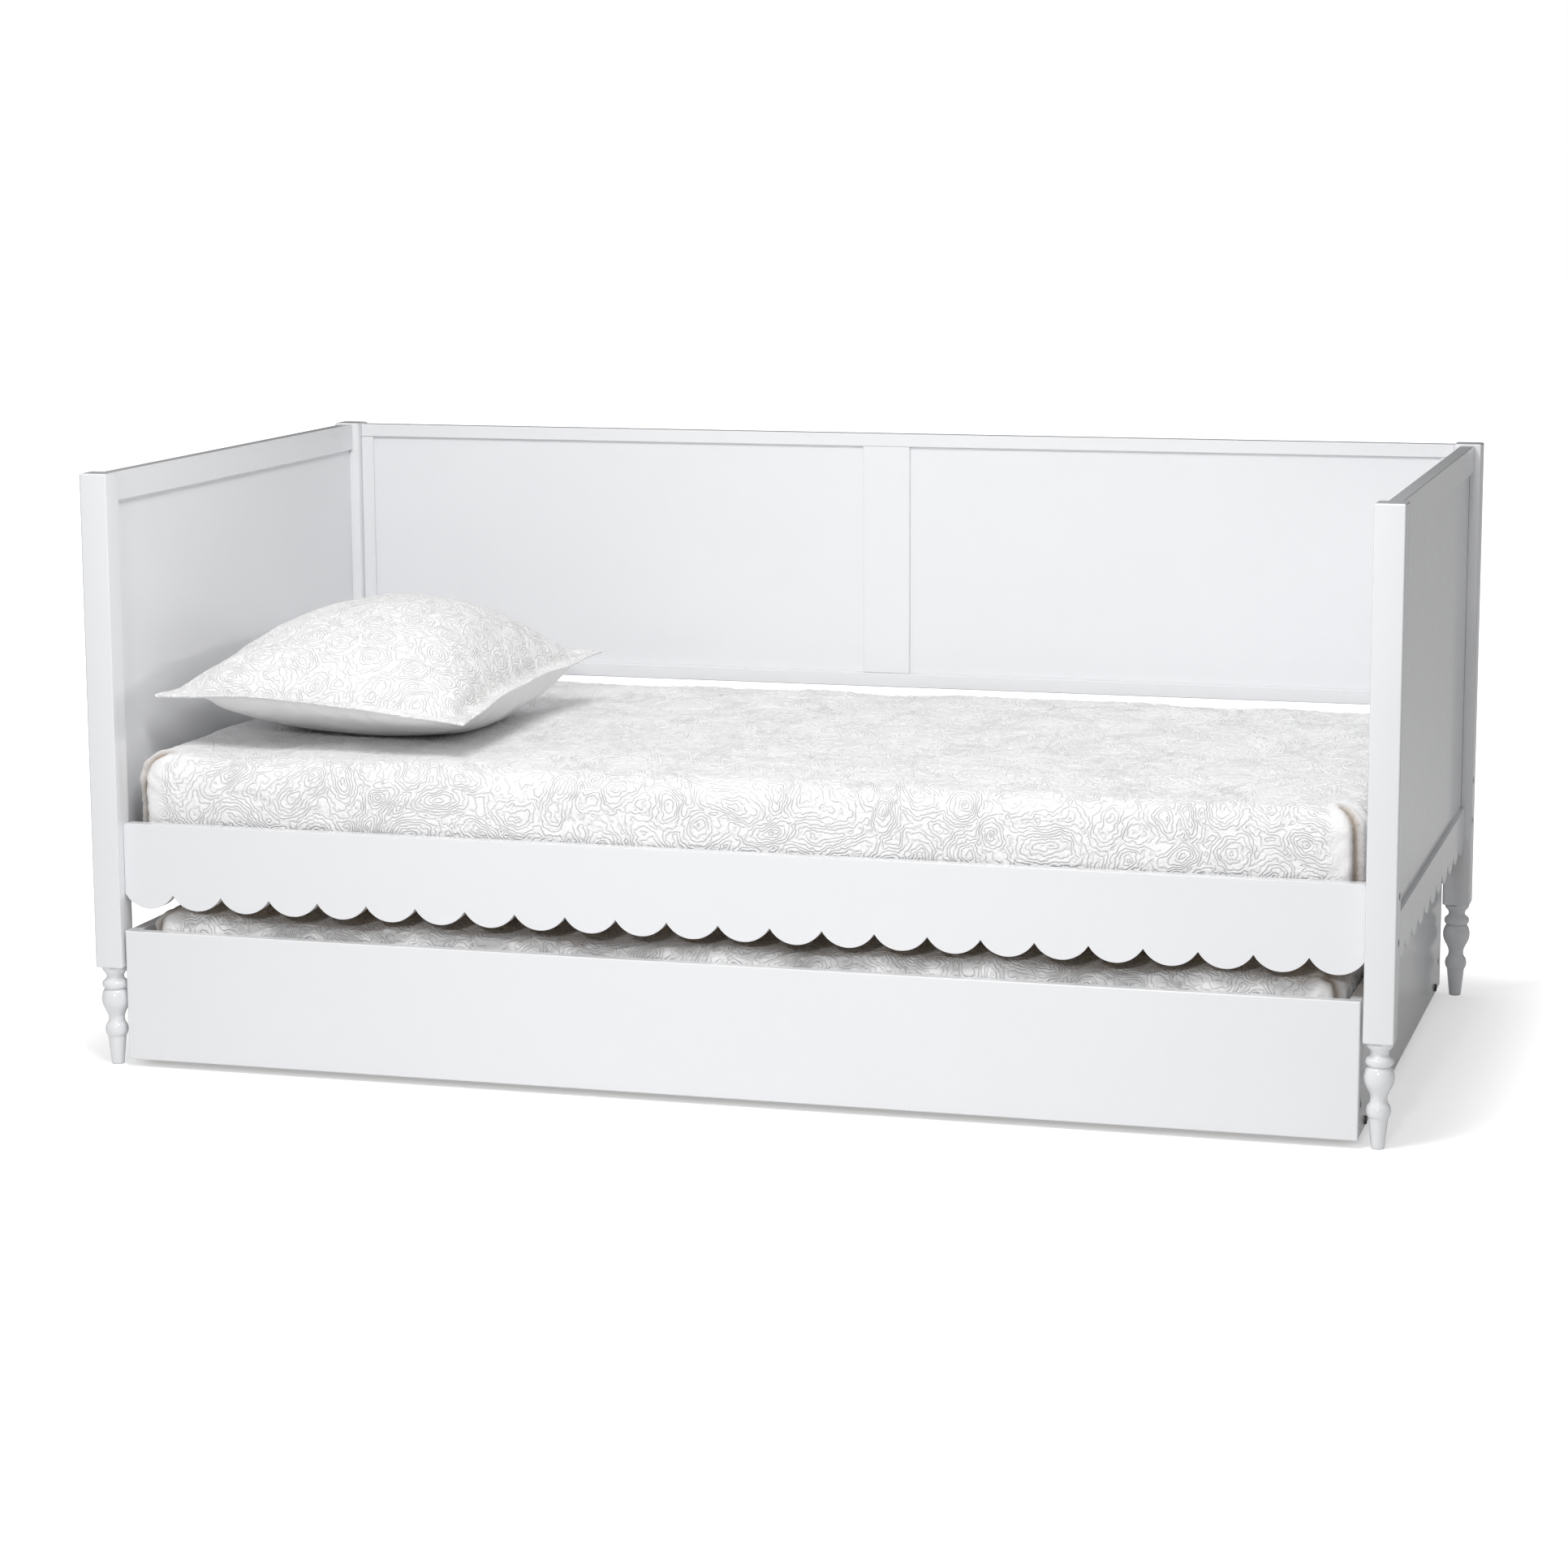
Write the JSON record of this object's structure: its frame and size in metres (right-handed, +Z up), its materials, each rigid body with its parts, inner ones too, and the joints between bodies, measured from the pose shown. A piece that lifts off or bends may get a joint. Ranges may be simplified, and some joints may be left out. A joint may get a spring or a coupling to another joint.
{
  "type": "trundle bed",
  "caption": "White painted daybed on turned feet with panelled sides, a scalloped apron and a trundle on hidden wheels that rolls out from under the front.",
  "frame": {"origin": "on the floor, at the centre of the bed's footprint", "axes": "+X along the bed to its right end, +Y to its panelled back, +Z up; the trundle rolls out along -Y"},
  "size_m": [2.02, 1.07, 0.93],
  "materials": {
    "white_paint": "satin",
    "pine": "matte",
    "plywood": "matte",
    "quilted_cover": "matte",
    "pillow_sham": "matte",
    "dark_steel": "satin",
    "wheel_plastic": "matte"
  },
  "bodies": {
    "bed_frame": {"post_front_left": "white_paint", "post_front_right": "white_paint", "post_back_left": "white_paint", "post_back_right": "white_paint", "left_end_top_rail": "white_paint", "left_end_panel": "white_paint", "left_end_scalloped_rail": "white_paint", "right_end_top_rail": "white_paint", "right_end_panel": "white_paint", "right_end_scalloped_rail": "white_paint", "back_top_rail": "white_paint", "back_bottom_rail": "white_paint", "back_left_stile": "white_paint", "back_right_stile": "white_paint", "back_centre_stile": "white_paint", "back_left_panel": "white_paint", "back_right_panel": "white_paint", "front_apron": "white_paint", "rear_support_rail": "white_paint", "apron_bolt_left_lower": "dark_steel", "apron_bolt_left_upper": "dark_steel", "apron_bolt_right_lower": "dark_steel", "apron_bolt_right_upper": "dark_steel", "bed_ledger_front": "pine", "bed_ledger_back": "pine", "bed_slat_01": "pine", "bed_slat_02": "pine", "bed_slat_03": "pine", "bed_slat_04": "pine", "bed_slat_05": "pine", "bed_slat_06": "pine", "bed_slat_07": "pine", "bed_slat_08": "pine", "bed_slat_09": "pine", "bed_slat_10": "pine", "bed_slat_11": "pine", "bed_slat_12": "pine", "bed_mattress": "quilted_cover", "pillow": "pillow_sham"},
    "trundle": {"trundle_front_panel": "white_paint", "trundle_back_panel": "white_paint", "trundle_left_side": "white_paint", "trundle_right_side": "white_paint", "trundle_ledger_front": "pine", "trundle_ledger_back": "pine", "trundle_bearer_left": "pine", "trundle_bearer_right": "pine", "trundle_deck_left": "plywood", "trundle_deck_centre": "plywood", "trundle_deck_right": "plywood", "trundle_mattress": "quilted_cover", "axle_bolt_front_left": "dark_steel", "axle_bolt_front_right": "dark_steel", "axle_bolt_back_left": "dark_steel", "axle_bolt_back_right": "dark_steel"},
    "wheel_front_left": {"wheel_front_left": "wheel_plastic"},
    "wheel_front_right": {"wheel_front_right": "wheel_plastic"},
    "wheel_back_left": {"wheel_back_left": "wheel_plastic"},
    "wheel_back_right": {"wheel_back_right": "wheel_plastic"}
  },
  "joints": [
    {"name": "trundle_slide", "type": "slide", "parent": "bed_frame", "child": "trundle", "axis": [0, -1, 0], "range_m": [0, 1.1]},
    {"name": "wheel_front_left_spin", "type": "hinge", "parent": "trundle", "child": "wheel_front_left", "pos_m": [-0.9299, -0.449, 0.024], "axis": [1, 0, 0], "continuous": true},
    {"name": "wheel_front_right_spin", "type": "hinge", "parent": "trundle", "child": "wheel_front_right", "pos_m": [0.9299, -0.449, 0.024], "axis": [1, 0, 0], "continuous": true},
    {"name": "wheel_back_left_spin", "type": "hinge", "parent": "trundle", "child": "wheel_back_left", "pos_m": [-0.9299, 0.449, 0.024], "axis": [1, 0, 0], "continuous": true},
    {"name": "wheel_back_right_spin", "type": "hinge", "parent": "trundle", "child": "wheel_back_right", "pos_m": [0.9299, 0.449, 0.024], "axis": [1, 0, 0], "continuous": true}
  ],
  "couplings": [
    {"joint": "wheel_front_left_spin", "follows": "trundle_slide", "rad_per_m": 41.667},
    {"joint": "wheel_front_right_spin", "follows": "trundle_slide", "rad_per_m": 41.667},
    {"joint": "wheel_back_left_spin", "follows": "trundle_slide", "rad_per_m": 41.667},
    {"joint": "wheel_back_right_spin", "follows": "trundle_slide", "rad_per_m": 41.667}
  ]
}
